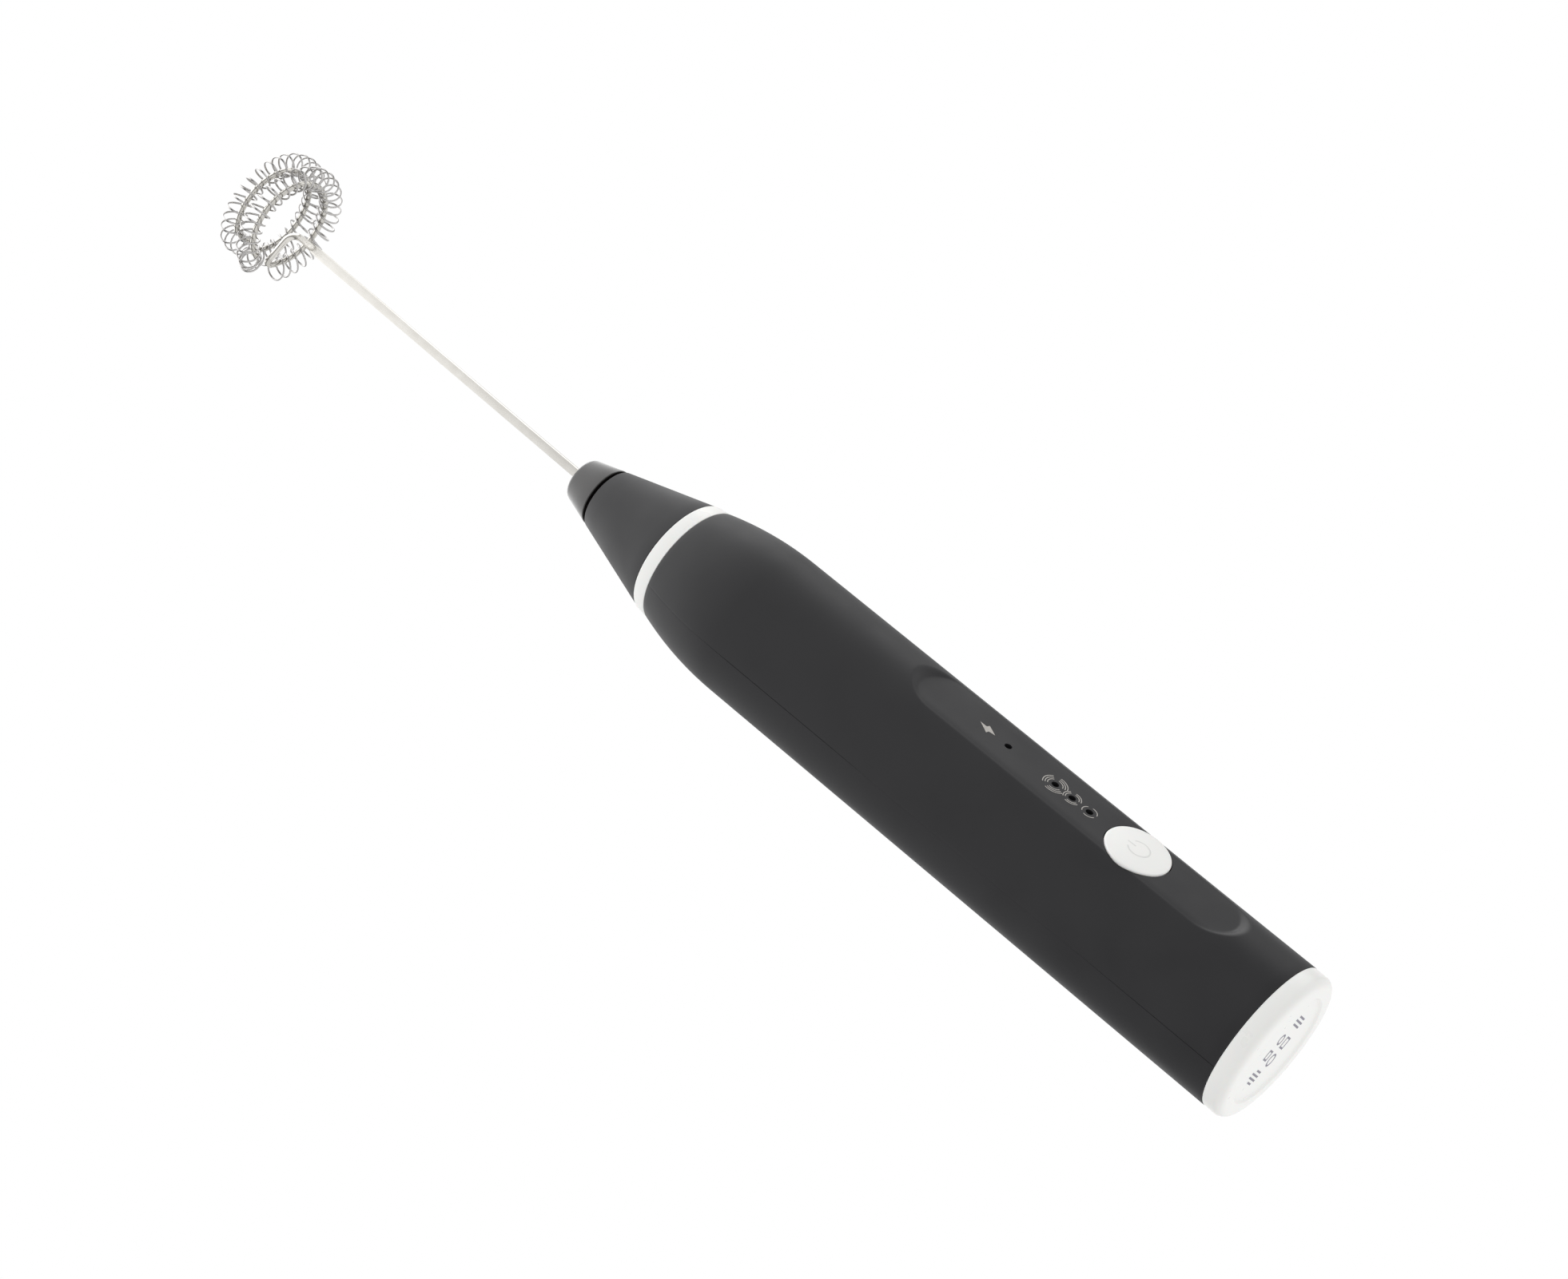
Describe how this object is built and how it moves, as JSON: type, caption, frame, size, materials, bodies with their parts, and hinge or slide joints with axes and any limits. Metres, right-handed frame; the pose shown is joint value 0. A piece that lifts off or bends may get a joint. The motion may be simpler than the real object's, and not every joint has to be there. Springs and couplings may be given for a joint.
{
  "type": "milk frother",
  "caption": "Hand-held rechargeable milk frother: a round matte handle with a flat control panel, a tapered nose and a coil whisk that spins and pulls off.",
  "frame": {"origin": "centre of the base cap at its resting plane", "axes": "+Z along the handle axis from the base to the whisk, -Y out of the control panel, +X to the right when the panel is faced with the whisk up"},
  "size_m": [0.031, 0.0315, 0.2735],
  "materials": {
    "matte_black": "soft-touch matte coating",
    "gloss_white": "moulded gloss white",
    "clear_lens": "clear moulded light guide",
    "frame_grey": "plain moulded grey",
    "board_green": "solder mask",
    "plated_steel": "zinc plated",
    "chip_black": "moulded epoxy",
    "switch_grey": "moulded",
    "capacitor_tan": "fired ceramic",
    "led_white": "diffusing lens",
    "socket_steel": "drawn sheet",
    "cell_wrap": "shrink-wrapped cell",
    "lead_red": "insulation sleeve",
    "nylon": "moulded nylon",
    "contact_brass": "turned or pressed",
    "copper": "enamelled or bare copper",
    "ferrite": "sintered ferrite",
    "rubber": "moulded rubber",
    "shaft_steel": "ground",
    "gloss_black": "moulded gloss black",
    "whisk_steel": "polished stainless wire"
  },
  "bodies": {
    "handle": {"front_shell": "matte_black", "rear_shell": "matte_black", "nose_cone": "matte_black", "base_cap": "gloss_white", "white_ring": "gloss_white", "indicator_lenses": "clear_lens", "inner_frame": "frame_grey", "circuit_board": "board_green", "charge_board": "board_green", "board_screws": "plated_steel", "motor_can": "plated_steel", "battery_tabs": "plated_steel", "switch_body": "chip_black", "driver_chip": "chip_black", "socket_tongue": "chip_black", "board_capacitors": "capacitor_tan", "speed_leds": "led_white", "charge_led": "led_white", "charging_socket": "socket_steel", "battery_cell": "cell_wrap", "battery_leads": "lead_red", "motor_leads": "lead_red", "motor_end_bell": "nylon", "motor_terminals": "contact_brass", "front_bushing": "contact_brass", "rear_bushing": "contact_brass", "nose_bearing": "contact_brass", "motor_brushes": "copper", "motor_magnets": "ferrite", "motor_sleeve": "rubber", "lip_seal": "rubber"},
    "button": {"button_cap": "gloss_white"},
    "plunger": {"switch_plunger": "switch_grey"},
    "drive": {"motor_shaft": "shaft_steel", "armature_core": "shaft_steel", "armature_windings": "copper", "commutator": "copper", "coupling_sleeve": "contact_brass", "drive_spindle": "shaft_steel", "spindle_clip": "plated_steel"},
    "whisk": {"whisk_hub": "gloss_black", "whisk_shaft": "whisk_steel", "whisk_ring_wire": "whisk_steel", "lower_coil": "whisk_steel", "upper_coil": "whisk_steel"}
  },
  "joints": [
    {"name": "whisk_spin", "type": "hinge", "parent": "handle", "child": "drive", "pos_m": [0, 0, 0.12], "axis": [0, 0, 1], "continuous": true},
    {"name": "whisk_pull", "type": "slide", "parent": "drive", "child": "whisk", "axis": [0, 0, 1], "range_m": [0, 0.012]},
    {"name": "button_press", "type": "slide", "parent": "handle", "child": "button", "axis": [0, 1, 0], "range_m": [0, 0.0006], "stiffness_N_per_m": 800, "springref_m": -0.0005},
    {"name": "plunger_press", "type": "slide", "parent": "handle", "child": "plunger", "axis": [0, 1, 0], "range_m": [0, 0.0006]}
  ],
  "couplings": [
    {"joint": "plunger_press", "follows": "button_press", "ratio": 1}
  ]
}
